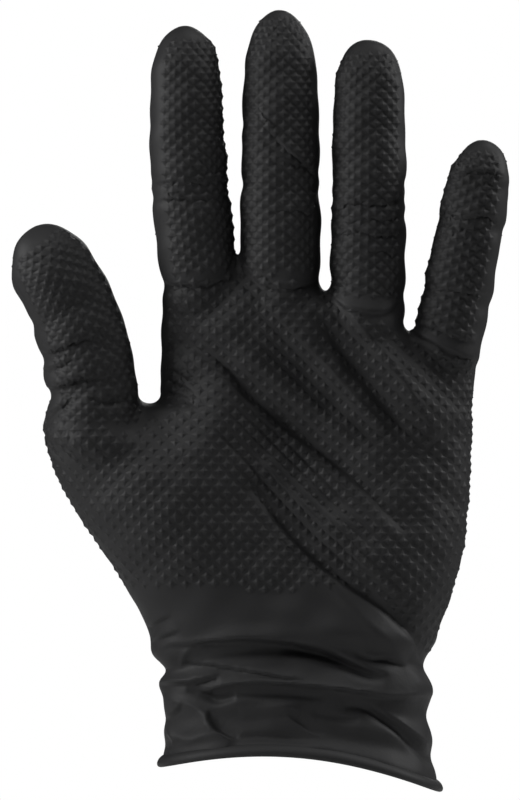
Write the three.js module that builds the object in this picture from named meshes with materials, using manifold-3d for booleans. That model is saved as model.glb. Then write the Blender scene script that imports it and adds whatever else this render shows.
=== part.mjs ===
// A black nitrile exam glove in the shape of the open left hand it is worn on. It is one dipped rubber film
// with a rolled bead round its cuff, so it is one hollow solid.
// Millimetres. +Z runs up along the fingers, the palm faces -Y and the thumb is towards -X.
// The origin is the middle of the cuff's opening.
import * as THREE from "three";
import Module from "manifold-3d";

// Film and bead
const wall = 1.0;
const beadDiameter = 3.2;
const beadRoll = 1.6; // how far the bead stands out past the film

// Cuff, from the opening up to the wrist
const cuffBreadth = 81;
const cuffDepth = 51;
const cuffHeight = 28.3;
const cuffArch = 7.2; // how far the opening's front and back arch up between its corners
const cuffSlant = 7.3; // how much lower the opening's little-finger corner is than its thumb corner

// Wrist
const wristBreadth = 78.2;
const wristDepth = 42;
const wristShift = -1.3; // how far its middle lies from the opening's, towards the little finger

// Palm, from the wrist to the web of the thumb, and on to the webs of the fingers
const palmLength = 78.5;
const palmBreadth = 91.7;
const palmDepth = 29;
const palmShift = 4.6;
const littleSpread = 0.016; // share of its breadth by which the palm widens at the little finger's root
const indexTuck = 0.008; // share of its breadth by which it narrows at the index finger's root
const thenarReach = 34.6; // how far the root of the thumb stands out past the index finger's side
const knuckleRise = 40; // from the web of the thumb to the web of the index finger
const webDepth = 18; // from front to back through a web between two fingers

// Digits. root is a share of the palm's breadth from the index finger's side, and rise is how far above the web
// of the thumb the length is measured from. tipBreadth and tipDepth are the sizes that the digit tapers towards,
// and cap is how much of the breadth its round tip takes up. lean is in degrees towards the little finger, and
// roll turns the nail. forward is how far the root lies towards the palm's face. bow is sideways and curl is
// towards the palm, both at the middle, and reach is how far forward the tip comes: shares of the length.
const digits = {
  thumb: {
    root: -0.22, rise: -10, length: 63.6, breadth: 27, tipBreadth: 22.4, depth: 25, tipDepth: 17, cap: 0.5,
    lean: -17.6, roll: 14, forward: 4, bow: 0.1, curl: 0.0, reach: 0.14,
  },
  index: {
    root: 0.132, rise: 34, length: 77.6, breadth: 22.8, tipBreadth: 18.2, depth: 21.5, tipDepth: 15, cap: 0.66,
    lean: -3.1, roll: 8, forward: 2.4, bow: -0.023, curl: 0.02, reach: 0.08,
  },
  middle: {
    root: 0.387, rise: 34, length: 82, breadth: 23.6, tipBreadth: 18.8, depth: 22, tipDepth: 15.4, cap: 0.72,
    lean: 0, roll: 0, forward: 2.4, bow: 0.0, curl: 0.02, reach: 0.04,
  },
  ring: {
    root: 0.664, rise: 26, length: 81.4, breadth: 22.2, tipBreadth: 19, depth: 21, tipDepth: 15, cap: 0.6,
    lean: 0.4, roll: -4, forward: 2.4, bow: 0.004, curl: 0.02, reach: 0.06,
  },
  little: {
    root: 0.918, rise: 16, length: 62.6, breadth: 20.4, tipBreadth: 16.6, depth: 18.6, tipDepth: 13.2, cap: 0.66,
    lean: 10.8, roll: -10, forward: 2.2, bow: 0.004, curl: 0.02, reach: 0.12,
  },
};

// How the section grows from the wrist to the thumb's web. up is a share of the palm's length, and the other
// columns are shares of the way from the wrist's size to the palm's.
const palmGrowth = [
  { up: 0.0, thumbSide: 0.0, littleSide: 0.0, front: 0.0, back: 0.0 },
  { up: 0.05, thumbSide: 0.07, littleSide: 0.0, front: 0.08, back: 0.12 },
  { up: 0.135, thumbSide: 0.11, littleSide: 0.18, front: 0.14, back: 0.28 },
  { up: 0.23, thumbSide: 0.21, littleSide: 0.42, front: 0.24, back: 0.45 },
  { up: 0.36, thumbSide: 0.375, littleSide: 0.68, front: 0.4, back: 0.64 },
  { up: 0.5, thumbSide: 0.585, littleSide: 0.85, front: 0.6, back: 0.8 },
  { up: 0.63, thumbSide: 0.77, littleSide: 0.93, front: 0.8, back: 0.9 },
  { up: 0.77, thumbSide: 0.92, littleSide: 0.98, front: 0.93, back: 0.97 },
  { up: 0.9, thumbSide: 0.985, littleSide: 1.0, front: 1.0, back: 1.0 },
  { up: 1.0, thumbSide: 1.0, littleSide: 1.0, front: 1.0, back: 1.0 },
];

// How the film closes in over the web of the thumb. up is a share of the palm's length, reach is the share of
// the thumb's root that the row still takes in, and square is how squarely the film turns round that side.
const thumbShoulder = [
  { up: 0.93, reach: 1.0, square: 2.6 },
  { up: 0.965, reach: 0.9, square: 2.8 },
  { up: 0.985, reach: 0.55, square: 3.1 },
  { up: 1.003, reach: 0.04, square: 3.5 },
];

// Where the fingers part. across is a share of the palm's breadth from the index finger's side, and up is a
// share of the rise from the thumb's web to the index finger's.
const fingerWebs = [
  { across: -0.02, up: 0.84 },
  { across: 0.12, up: 0.98 },
  { across: 0.254, up: 1.04 },
  { across: 0.4, up: 0.95 },
  { across: 0.537, up: 0.8 },
  { across: 0.68, up: 0.65 },
  { across: 0.807, up: 0.49 },
  { across: 1.02, up: 0.33 },
];

// How thick the palm is from the thumb's web to the fingers' webs. up is a share of that height, and depth is a
// share of the way from the palm's depth to the web's, with the film's edge rounded past that.
const knuckles = [
  { up: 0.13, depth: 0.03 },
  { up: 0.3, depth: 0.12 },
  { up: 0.45, depth: 0.26 },
  { up: 0.6, depth: 0.46 },
  { up: 0.75, depth: 0.7 },
  { up: 0.87, depth: 0.98 },
  { up: 0.95, depth: 1.4 },
  { up: 1.0, depth: 2.3 },
];

// Swells and hollows of the hand under the film. across and up are shares of the palm's breadth and length, from
// the index finger's side and the wrist. wide and tall are the swell's half sizes in the same shares, and rise
// is a share of the palm's depth.
const swells = [
  { face: "front", across: -0.08, up: 0.66, wide: 0.3, tall: 0.42, rise: 0.3 }, // ball of the thumb
  { face: "front", across: 0.82, up: 0.42, wide: 0.26, tall: 0.44, rise: 0.12 }, // heel of the hand
  { face: "front", across: 0.5, up: 0.95, wide: 0.26, tall: 0.34, rise: -0.12 }, // hollow of the palm
  { face: "front", across: 0.5, up: 1.36, wide: 0.6, tall: 0.14, rise: 0.08 }, // pads under the fingers
  { face: "back", across: 0.45, up: 1.3, wide: 0.5, tall: 0.18, rise: 0.1 }, // knuckles
  { face: "front", across: -0.06, up: 1.04, wide: 0.16, tall: 0.22, rise: -0.42 }, // web of the thumb
  { face: "back", across: -0.06, up: 1.04, wide: 0.2, tall: 0.26, rise: -0.3 }, // web of the thumb
];

// Folds of the film, from one point to another in the same shares as the swells, each bowed to its left by a
// share of its own length. depth and width are shares of the palm's depth. A valley is pressed in, a ridge
// stands out, and at a step the film on the left lies over the film on the right.
const folds = [
  { kind: "step", from: [0.25, 0.76], to: [0.86, 0.04], bow: -0.02, depth: 0.07, width: 0.2 },
  { kind: "valley", from: [0.05, 1.1], to: [0.7, 0.4], bow: 0.01, depth: 0.05, width: 0.14 },
  { kind: "valley", from: [0.0, 1.26], to: [0.62, 0.7], bow: 0.12, depth: 0.05, width: 0.14 },
  { kind: "valley", from: [0.38, 1.29], to: [0.72, 0.87], bow: 0.02, depth: 0.05, width: 0.13 },
  { kind: "valley", from: [0.58, 1.3], to: [0.88, 0.85], bow: 0.03, depth: 0.07, width: 0.13 },
  { kind: "ridge", from: [0.68, 1.24], to: [0.9, 0.88], bow: 0.02, depth: 0.05, width: 0.12 },
  { kind: "valley", from: [0.79, 1.26], to: [1.0, 1.13], bow: -0.06, depth: 0.06, width: 0.12 },
  { kind: "ridge", from: [0.08, 0.17], to: [0.7, 0.13], bow: 0.06, depth: 0.05, width: 0.14 },
  { kind: "valley", from: [0.02, -0.09], to: [0.26, -0.25], bow: 0.14, depth: 0.07, width: 0.12 },
  { kind: "valley", from: [0.64, -0.12], to: [0.88, -0.32], bow: -0.05, depth: 0.07, width: 0.12 },
  { kind: "ridge", from: [0.72, -0.1], to: [0.94, -0.3], bow: -0.05, depth: 0.05, width: 0.12 },
];

// Gathers that run right round the cuff and wrist. The first three columns are shares of the palm's length above
// the wrist, at the thumb side, the middle and the little-finger side. depth and width are shares of the
// palm's depth, and a gather stands out where depth is above nought.
const gathers = [
  { thumbSide: 0.05, middle: 0.15, littleSide: 0.06, depth: 0.03, width: 0.12 },
  { thumbSide: 0.0, middle: 0.08, littleSide: -0.04, depth: -0.055, width: 0.1 },
  { thumbSide: -0.05, middle: -0.04, littleSide: -0.09, depth: 0.055, width: 0.1 },
  { thumbSide: -0.18, middle: -0.16, littleSide: -0.18, depth: -0.045, width: 0.12 },
];

// Creases of the film across a digit. along is a share of the length, slant tips the crease up towards the thumb
// side by a share of the breadth, and depth and width are shares of the breadth. side is -1 where the crease
// cuts in on the thumb side alone, and 0 where it goes right round.
const creases = {
  thumb: [
    { along: 0.24, slant: 0.2, depth: -0.034, width: 0.14, side: -1 },
    { along: 0.43, slant: 0.2, depth: -0.018, width: 0.14, side: -1 },
    { along: 0.64, slant: 0.2, depth: -0.02, width: 0.14, side: -1 },
  ],
  index: [
    { along: 0.03, slant: 0, depth: -0.03, width: 0.16, side: 0 },
    { along: 0.39, slant: 0, depth: -0.025, width: 0.18, side: 0 },
  ],
  middle: [
    { along: 0.04, slant: -0.1, depth: -0.03, width: 0.16, side: 0 },
    { along: 0.44, slant: -0.6, depth: -0.025, width: 0.18, side: 0 },
  ],
  ring: [
    { along: 0.1, slant: -0.2, depth: -0.03, width: 0.16, side: 0 },
    { along: 0.42, slant: 0, depth: -0.025, width: 0.18, side: 0 },
  ],
  little: [
    { along: 0.26, slant: -0.1, depth: -0.025, width: 0.16, side: 0 },
    { along: 0.62, slant: 0, depth: -0.025, width: 0.16, side: 0 },
  ],
};

// Fineness of the film's net
const thenarColumns = 7;
const palmColumns = 18;
const cuffRows = 9;
const palmRows = 14;
const digitRows = 12;
const fingerSides = 12;
const thumbSides = 14;
const beadSteps = 4;
const columnSplit = 0.1; // share of the palm's breadth, from the index finger's side, where the thenar columns end
const columnEvenness = 0.55; // 1 spaces the palm's columns evenly, and less gathers them at the sides

// Places that follow from the sizes
const indexSide = palmShift - palmBreadth / 2;
const wristLeft = wristShift - wristBreadth / 2;
const wristRight = wristShift + wristBreadth / 2;
const thumbWeb = cuffHeight + palmLength;
const sectionSquareness = 2.5;
const knuckleSquareness = 2.8; // of the index finger's side, above the thumb's web
const digitSquareness = 2.2;
const buried = 0.14; // share of a digit's length that its root runs on down inside the palm
const rootShrink = 0.45; // how much the buried root narrows, as a share of its breadth
const seamTolerance = 0.03; // where two joined surfaces cross, edges shorter than this are closed up
const foldFade = 0.6; // power of the sine by which a fold dies out at its ends
const stepReach = 3; // how far a step's lift spreads to each side, in widths
const tipOpening = 0.02; // share of its size that a digit's last ring keeps

// Value of a table's column at a place between its rows, on a smooth curve through them
function read(table, key, column, at) {
  const last = table.length - 1;
  if (at <= table[0][key]) return table[0][column];
  if (at >= table[last][key]) return table[last][column];
  const i = table.findIndex((row) => row[key] > at) - 1;
  const slope = (a, b) => (table[b][column] - table[a][column]) / (table[b][key] - table[a][key]);
  const step = table[i + 1][key] - table[i][key];
  const t = (at - table[i][key]) / step;
  const leaving = i > 0 ? (slope(i - 1, i) + slope(i, i + 1)) / 2 : slope(i, i + 1);
  const arriving = i + 1 < last ? (slope(i, i + 1) + slope(i + 1, i + 2)) / 2 : slope(i, i + 1);
  const rise = table[i + 1][column] - table[i][column];
  const bend = (leaving * step - rise) * (1 - t) + (rise - arriving * step) * t;
  return table[i][column] + t * rise + t * (1 - t) * bend;
}

// Place of a point on the hand, as shares of the palm's breadth and length
function sharesAt(x, z) {
  return { across: (x - indexSide) / palmBreadth, up: (z - cuffHeight) / palmLength };
}

// How far a fold lifts the film at a point. The fold's line is its chord, bowed by a parabola.
function foldLift(fold, x, z) {
  const start = new THREE.Vector2(indexSide + fold.from[0] * palmBreadth, cuffHeight + fold.from[1] * palmLength);
  const end = new THREE.Vector2(indexSide + fold.to[0] * palmBreadth, cuffHeight + fold.to[1] * palmLength);
  const chord = end.clone().sub(start);
  const length = chord.length();
  const from = new THREE.Vector2(x, z).sub(start);
  const along = from.dot(chord) / (length * length);
  if (along <= 0 || along >= 1) return 0;
  const toRight = from.cross(chord) / length;
  const aside = toRight + 4 * fold.bow * length * along * (1 - along);
  const fade = Math.pow(Math.sin(Math.PI * along), foldFade);
  const width = fold.width * palmDepth;
  const depth = fold.depth * palmDepth * fade;
  const hump = Math.exp(-((aside / width) ** 2));
  if (fold.kind === "valley") return -depth * hump;
  if (fold.kind === "ridge") return depth * hump;
  return -depth * Math.tanh((2 * aside) / width) * Math.exp(-Math.abs(aside) / (stepReach * width));
}

// How far a swell of the hand lifts the film at a point
function swellLift(swell, across, up) {
  const far = ((across - swell.across) / swell.wide) ** 2 + ((up - swell.up) / swell.tall) ** 2;
  return swell.rise * palmDepth * Math.exp(-far);
}

// How far a gather lifts the film at a point. Its line is a parabola through its three heights.
function gatherLift(gather, across, up) {
  const share = THREE.MathUtils.clamp(across, 0, 1);
  const level = THREE.MathUtils.lerp(gather.thumbSide, gather.littleSide, share);
  const arch = gather.middle - (gather.thumbSide + gather.littleSide) / 2;
  const line = level + 4 * arch * share * (1 - share);
  const aside = ((up - line) * palmLength) / (gather.width * palmDepth);
  return gather.depth * palmDepth * Math.exp(-(aside ** 2));
}

// Height of the cuff's edge at a share of the opening's breadth
function edgeHeight(share) {
  return -cuffSlant * share + cuffArch * (1 - (2 * share - 1) ** 2);
}

// The rows of the palm and cuff, each with its two sides, its depths to front and back, and its height as a
// function of how far across the row a point lies
function bodyRows() {
  const rows = [];
  for (let i = 0; i < cuffRows; i++) {
    const t = i / cuffRows;
    const ease = 1 - (1 - t) ** 2;
    rows.push({
      left: THREE.MathUtils.lerp(-cuffBreadth / 2, wristLeft, ease),
      right: THREE.MathUtils.lerp(cuffBreadth / 2, wristRight, ease),
      front: THREE.MathUtils.lerp(cuffDepth, wristDepth, ease) / 2,
      back: THREE.MathUtils.lerp(cuffDepth, wristDepth, ease) / 2,
      square: sectionSquareness,
      height: (share) => THREE.MathUtils.lerp(edgeHeight(share) + beadDiameter, cuffHeight, t),
    });
  }
  const palmRow = (up, reach, square) => ({
    left: THREE.MathUtils.lerp(wristLeft, indexSide - reach, read(palmGrowth, "up", "thumbSide", up)),
    right: THREE.MathUtils.lerp(wristRight, indexSide + palmBreadth, read(palmGrowth, "up", "littleSide", up)),
    front: THREE.MathUtils.lerp(wristDepth, palmDepth, read(palmGrowth, "up", "front", up)) / 2,
    back: THREE.MathUtils.lerp(wristDepth, palmDepth, read(palmGrowth, "up", "back", up)) / 2,
    square,
    height: () => cuffHeight + up * palmLength,
  });
  for (let i = 0; i < palmRows; i++) {
    rows.push(palmRow((i / palmRows) * thumbShoulder[0].up, thenarReach, sectionSquareness));
  }
  for (const edge of thumbShoulder) rows.push(palmRow(edge.up, edge.reach * thenarReach, edge.square));
  for (const knuckle of knuckles) {
    const depth = THREE.MathUtils.lerp(palmDepth, webDepth, knuckle.depth) / 2;
    rows.push({
      left: indexSide + palmBreadth * indexTuck * knuckle.up,
      right: indexSide + palmBreadth * (1 + littleSpread * Math.sin((Math.PI / 2) * knuckle.up)),
      front: depth,
      back: depth,
      square: knuckleSquareness,
      height: (share) => thumbWeb + knuckle.up * knuckleRise * read(fingerWebs, "across", "up", share),
    });
  }
  return rows;
}

// The shares across a row where its columns lie: evenly over the thumb's root, then over the palm, and closer
// together at both ends, where the film turns round the side of the hand
function columnShares(row) {
  const split = (indexSide + columnSplit * palmBreadth - row.left) / (row.right - row.left);
  const shares = [];
  for (let k = 0; k < thenarColumns; k++) {
    shares.push(split * (1 - Math.cos((Math.PI / 2) * (k / thenarColumns))));
  }
  for (let k = 0; k <= palmColumns; k++) {
    const even = k / palmColumns;
    const gathered = Math.sin((Math.PI / 2) * even);
    shares.push(split + (1 - split) * THREE.MathUtils.lerp(gathered, even, columnEvenness));
  }
  return shares;
}

// One ring of the palm and cuff: over the front from the thumb side to the little finger, and back over the back
function bodyRing(row) {
  const shares = columnShares(row);
  const point = (share, face) => {
    const x = THREE.MathUtils.lerp(row.left, row.right, share);
    const z = row.height(share);
    const peak = (indexSide + palmBreadth / 2 - row.left) / (row.right - row.left);
    const away = share < peak ? 1 - share / peak : (share - peak) / (1 - peak);
    const square = share < peak ? row.square : sectionSquareness;
    const round = Math.pow(Math.max(0, 1 - away ** square), 1 / square);
    const depth = face === "front" ? row.front : row.back;
    const hand = sharesAt(x, z);
    let lift = 0;
    for (const swell of swells) if (swell.face === face) lift += swellLift(swell, hand.across, hand.up);
    if (face === "front") for (const fold of folds) lift += foldLift(fold, x, z);
    let flare = 0;
    for (const gather of gathers) flare += gatherLift(gather, hand.across, hand.up);
    const y = round * (depth + lift + flare) * (face === "front" ? -1 : 1);
    return new THREE.Vector3(x + flare * (1 - round) * Math.sign(share - 0.5), y, z);
  };
  const inner = shares.slice(1, -1);
  return [
    point(shares[0], "front"),
    ...inner.map((share) => point(share, "front")),
    point(shares[shares.length - 1], "front"),
    ...inner.reverse().map((share) => point(share, "back")),
  ];
}

// The rings of a digit, from its root inside the palm to its tip, with the film's surface moved in by inset
function digitRings(name, inset) {
  const digit = digits[name];
  const sides = name === "thumb" ? thumbSides : fingerSides;
  const root = new THREE.Vector3(indexSide + digit.root * palmBreadth, -digit.forward, thumbWeb + digit.rise);
  const lean = THREE.MathUtils.degToRad(digit.lean);
  const run = new THREE.Vector3(Math.sin(lean), 0, Math.cos(lean));
  const aside = new THREE.Vector3(Math.cos(lean), 0, -Math.sin(lean));
  const length = digit.length;
  const path = (t) =>
    root
      .clone()
      .addScaledVector(run, t * length)
      .addScaledVector(aside, 4 * digit.bow * length * t * (1 - t))
      .add(new THREE.Vector3(0, length * (-digit.reach * t * t - 4 * digit.curl * t * (1 - t)), 0));
  const padStart = 1 - (digit.cap * digit.breadth) / length;
  const tip = 1 - inset / length;
  const rings = [];
  for (let i = 0; i <= digitRows; i++) {
    const even = i / digitRows;
    const t = -buried + (tip + buried) * Math.sin((Math.PI / 2) * even);
    const middle = path(t);
    const ahead = path(t + 0.01).sub(path(t - 0.01)).normalize();
    const side = aside.clone().addScaledVector(ahead, -aside.dot(ahead)).normalize();
    const face = new THREE.Vector3().crossVectors(ahead, side);
    side.applyAxisAngle(ahead, THREE.MathUtils.degToRad(digit.roll));
    face.applyAxisAngle(ahead, THREE.MathUtils.degToRad(digit.roll));
    const cap = Math.max(0, (t - padStart) / (tip - padStart));
    const round = Math.sqrt(Math.max(tipOpening ** 2, 1 - cap * cap));
    const taper = THREE.MathUtils.clamp(t, 0, 1) ** 3;
    const sunk = 1 - rootShrink * Math.min(0, t / buried) ** 2;
    const ring = [];
    for (let k = 0; k < sides; k++) {
      const angle = Math.PI + (k / sides) * 2 * Math.PI;
      const cos = Math.cos(angle);
      const sin = Math.sin(angle);
      const wide = Math.sign(cos) * Math.abs(cos) ** (2 / digitSquareness);
      const deep = Math.sign(sin) * Math.abs(sin) ** (2 / digitSquareness);
      let slack = 0;
      for (const crease of creases[name]) {
        const away = ((t - crease.along) * length) / digit.breadth - (crease.slant * wide) / 2;
        const share = 1 + crease.side * wide;
        slack += share * crease.depth * digit.breadth * Math.exp(-((away / crease.width) ** 2));
      }
      const breadth = THREE.MathUtils.lerp(digit.breadth, digit.tipBreadth, taper) / 2 + slack - inset;
      const depth = THREE.MathUtils.lerp(digit.depth, digit.tipDepth, taper) / 2 + slack - inset;
      ring.push(
        middle
          .clone()
          .addScaledVector(side, breadth * round * sunk * wide)
          .addScaledVector(face, depth * round * sunk * deep),
      );
    }
    rings.push(ring);
  }
  return rings;
}

// Rings of the rolled bead below the film's lowest ring: the outer half of a round section
function beadRings(edge) {
  const count = edge.length;
  return Array.from({ length: beadSteps }, (_, step) => {
    const angle = Math.PI * (step / beadSteps - 0.5);
    return edge.map((point, k) => {
      const along = edge[(k + 1) % count].clone().sub(edge[(k + count - 1) % count]);
      const out = new THREE.Vector3(along.y, -along.x, 0).normalize();
      const low = (beadDiameter / 2) * (1 - Math.sin(angle));
      return point.clone().addScaledVector(out, beadRoll * Math.cos(angle)).setZ(point.z - low);
    });
  });
}

// Rings of the film's inner face: each point moved in along the surface by the wall, with the first ring carried
// on out of the opening
function innerRings(rings) {
  const count = rings[0].length;
  const inner = rings.map((ring, i) =>
    ring.map((point, k) => {
      const below = rings[Math.max(0, i - 1)][k];
      const above = rings[Math.min(rings.length - 1, i + 1)][k];
      const before = ring[(k + count - 1) % count];
      const after = ring[(k + 1) % count];
      const normal = new THREE.Vector3()
        .crossVectors(after.clone().sub(before), above.clone().sub(below))
        .normalize();
      return point.clone().addScaledVector(normal, -wall);
    }),
  );
  const carried = inner[0].map((point) => point.clone().setZ(point.z - beadDiameter * 2));
  return [carried, ...inner.slice(0, -1), inner[inner.length - 1].map((point) => point.setZ(point.z - wall))];
}

const wasm = await Module();
wasm.setup();

// A solid from a list of vertices and a list of triangles
function solidFrom(vertices, triangles) {
  const vertProperties = new Float32Array(vertices.flatMap((point) => [point.x, point.y, point.z]));
  return new wasm.Manifold(new wasm.Mesh({ numProp: 3, vertProperties, triVerts: new Uint32Array(triangles) }));
}

// Triangles of the net between rings, seen from outside
function netTriangles(rings) {
  const count = rings[0].length;
  const triangles = [];
  for (let i = 0; i < rings.length - 1; i++) {
    const here = i * count;
    const next = here + count;
    for (let k = 0; k < count; k++) {
      const beside = (k + 1) % count;
      triangles.push(here + k, here + beside, next + k, here + beside, next + beside, next + k);
    }
  }
  return triangles;
}

// A closed solid of the palm, whose first and last rings are zipped shut from front to back
function zippedSolid(rings) {
  const count = rings[0].length;
  const triangles = netTriangles(rings);
  const top = (rings.length - 1) * count;
  for (let k = 0; k < count / 2; k++) {
    const [a, b] = [k, k + 1];
    const [c, d] = [(count - k) % count, count - k - 1];
    if (a !== c) triangles.push(a, c, b, top + a, top + b, top + c);
    if (b !== d) triangles.push(b, c, d, top + b, top + d, top + c);
  }
  return solidFrom(rings.flat(), triangles);
}

// A closed solid of a digit, with a fan over its root and over its tip
function fannedSolid(rings) {
  const count = rings[0].length;
  const middleOf = (ring) => ring.reduce((sum, point) => sum.add(point), new THREE.Vector3()).divideScalar(count);
  const vertices = [...rings.flat(), middleOf(rings[0]), middleOf(rings[rings.length - 1])];
  const triangles = netTriangles(rings);
  const top = (rings.length - 1) * count;
  for (let k = 0; k < count; k++) {
    const beside = (k + 1) % count;
    triangles.push(vertices.length - 2, beside, k, vertices.length - 1, top + k, top + beside);
  }
  return solidFrom(vertices, triangles);
}

const palmRings = bodyRows().map(bodyRing);
let outside = zippedSolid([...beadRings(palmRings[0]), ...palmRings]);
let inside = zippedSolid(innerRings(palmRings));
for (const name of Object.keys(digits)) {
  outside = outside.add(fannedSolid(digitRings(name, 0)));
  inside = inside.add(fannedSolid(digitRings(name, wall)));
}
const parted = outside.subtract(inside).simplify(seamTolerance).decompose();
const film = parted.reduce((most, body) => (body.volume() > most.volume() ? body : most));

// A mesh whose geometry is a solid's surface
function meshOf(solid, name, material) {
  const { vertProperties, triVerts } = solid.getMesh();
  const geometry = new THREE.BufferGeometry();
  geometry.setAttribute("position", new THREE.BufferAttribute(new Float32Array(vertProperties), 3));
  geometry.setIndex([...triVerts]);
  geometry.computeVertexNormals();
  const mesh = new THREE.Mesh(geometry, material);
  mesh.name = name;
  return mesh;
}

const nitrile = new THREE.MeshStandardMaterial({ color: 0x262626, roughness: 0.55, metalness: 0 });
const glove = new THREE.Group();
glove.name = "nitrile_exam_glove";
glove.add(meshOf(film, "glove", nitrile));

export default glove;
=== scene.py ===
# A black nitrile exam glove, standing open in the form that it has on a left hand.
# The frame's own solid gives its place and size, and this script makes the fine film that stands for it.
import bmesh
import bpy
import numpy as np
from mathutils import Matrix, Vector


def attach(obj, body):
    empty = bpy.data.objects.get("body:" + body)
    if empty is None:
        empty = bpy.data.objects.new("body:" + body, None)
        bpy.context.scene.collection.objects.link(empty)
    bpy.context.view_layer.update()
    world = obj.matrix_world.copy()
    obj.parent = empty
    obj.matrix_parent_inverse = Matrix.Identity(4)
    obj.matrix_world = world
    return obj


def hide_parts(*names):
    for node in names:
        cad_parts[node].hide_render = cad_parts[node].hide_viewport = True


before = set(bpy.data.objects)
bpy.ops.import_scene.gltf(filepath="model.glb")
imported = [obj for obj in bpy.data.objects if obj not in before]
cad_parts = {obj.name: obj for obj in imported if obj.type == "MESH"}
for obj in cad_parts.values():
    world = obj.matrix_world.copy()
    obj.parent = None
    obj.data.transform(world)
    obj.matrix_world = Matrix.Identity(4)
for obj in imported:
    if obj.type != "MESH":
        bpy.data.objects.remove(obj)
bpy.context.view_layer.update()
print("frame loaded:", sorted(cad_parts))

metre = 0.001  # all sizes below are in millimetres, and become metres as a mesh is made

# What a user would change of the whole form: the sizes and shares of the solid, with a thicker wall
form = {
    "wall": 1.2, "beadHeight": 3.2,
    "cuffBreadth": 81.0, "cuffDepth": 51.0, "cuffHeight": 28.3, "cuffArch": 7.2, "cuffSlant": 7.3,
    "wristBreadth": 78.2, "wristDepth": 42.0, "wristShift": -1.3,
    "palmLength": 78.5, "palmBreadth": 91.7, "palmDepth": 29.0, "palmShift": 4.6,
    "thenarReach": 34.6, "knuckleRise": 40.0, "webDepth": 18.0, "littleSpread": 0.016, "indexTuck": 0.008,
    "sectionSquareness": 2.5, "knuckleSquareness": 2.8, "digitSquareness": 2.2,
    "buried": 0.14, "rootShrink": 0.45,
}
form["indexSide"] = form["palmShift"] - form["palmBreadth"] / 2
form["thumbWeb"] = form["cuffHeight"] + form["palmLength"]
rowCounts = {"cuff": 9, "palm": 14}

# root is a share of the palm's breadth, and rise lies above the thumb's web. cap is the round tip's share of
# the breadth. lean, roll and dotTurn are in degrees. bow, curl and reach are shares of the length
digitNames = ["thumb", "index", "middle", "ring", "little"]
digitTable = {
    "root": [-0.22, 0.132, 0.387, 0.664, 0.918],
    "rise": [-10, 34, 34, 26, 16],
    "length": [63.6, 77.6, 82, 81.4, 62.6],
    "breadth": [27, 22.8, 23.6, 22.2, 20.4],
    "tipBreadth": [22.4, 18.2, 18.8, 19, 16.6],
    "depth": [25, 21.5, 22, 21, 18.6],
    "tipDepth": [17, 15, 15.4, 15, 13.2],
    "cap": [0.5, 0.66, 0.72, 0.6, 0.66],
    "lean": [-17.6, -3.1, 0, 0.4, 10.8],
    "roll": [14, 8, 0, -4, -10],
    "bow": [0.1, -0.023, 0.0, 0.004, 0.004],
    "curl": [0.0, 0.02, 0.02, 0.02, 0.02],
    "reach": [0.14, 0.08, 0.04, 0.06, 0.12],
    "forward": [4, 2.4, 2.4, 2.4, 2.2],
    "dotTurn": [0, 16, -6, -8, -10],
}
digits = {name: {key: column[place] for key, column in digitTable.items()}
          for place, name in enumerate(digitNames)}

# How the section grows from the wrist, where the shares are 0, to the thumb's web, where they are 1
palmGrowth = {
    "up":         [0.0, 0.05, 0.135, 0.23, 0.36, 0.5, 0.63, 0.77, 0.9, 1.0],
    "thumbSide":  [0.0, 0.07, 0.11, 0.21, 0.375, 0.585, 0.77, 0.92, 0.985, 1.0],
    "littleSide": [0.0, 0.0, 0.18, 0.42, 0.68, 0.85, 0.93, 0.98, 1.0, 1.0],
    "front":      [0.0, 0.08, 0.14, 0.24, 0.4, 0.6, 0.8, 0.93, 1.0, 1.0],
    "back":       [0.0, 0.12, 0.28, 0.45, 0.64, 0.8, 0.9, 0.97, 1.0, 1.0],
}
# How the film closes in over the web of the thumb
thumbShoulder = {
    "up": [0.93, 0.965, 0.985, 1.003], "reach": [1.0, 0.9, 0.55, 0.04], "square": [2.6, 2.8, 3.1, 3.5],
}
# Where the fingers part, as shares of the palm's breadth, and of the rise up to the index finger's web
fingerWebs = {
    "across": [-0.02, 0.12, 0.254, 0.4, 0.537, 0.68, 0.807, 1.02],
    "up":     [0.84, 0.98, 1.04, 0.95, 0.8, 0.65, 0.49, 0.33],
}
# From the thumb's web up to the fingers' webs: shares of that height, and of the way from the palm's depth to
# the webs'
knuckles = {
    "up":    [0.13, 0.3, 0.45, 0.6, 0.75, 0.87, 0.95, 1.0],
    "depth": [0.03, 0.12, 0.26, 0.46, 0.7, 0.98, 1.4, 2.3],
}

# Swells of the hand under the film: ball of the thumb, heel, hollow, pads, knuckles, and both faces of the web.
# Places and half sizes are shares of the palm's breadth and length, and face is -1 on the palm's side
swells = {
    "face": [-1, -1, -1, -1, 1, -1, 1],
    "across": [-0.08, 0.82, 0.5, 0.5, 0.45, -0.06, -0.06],
    "up": [0.66, 0.42, 0.95, 1.36, 1.3, 1.04, 1.04],
    "wide": [0.3, 0.26, 0.26, 0.6, 0.5, 0.16, 0.2],
    "tall": [0.42, 0.44, 0.34, 0.14, 0.18, 0.22, 0.26],
    "rise": [0.3, 0.12, -0.12, 0.08, 0.1, -0.42, -0.3],
}

# Gathers right round the cuff: heights above the wrist at the thumb side, middle and little side, as shares of
# the palm's length. depth and width are shares of the palm's depth
gathers = {
    "thumbSide": [0.05, 0.0, -0.05, -0.18, -0.285],
    "middle": [0.15, 0.08, -0.04, -0.16, -0.235],
    "littleSide": [0.06, -0.04, -0.09, -0.18, -0.37],
    "depth": [0.03, -0.045, 0.04, -0.03, -0.035],
    "width": [0.12, 0.1, 0.11, 0.12, 0.11],
}

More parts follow.
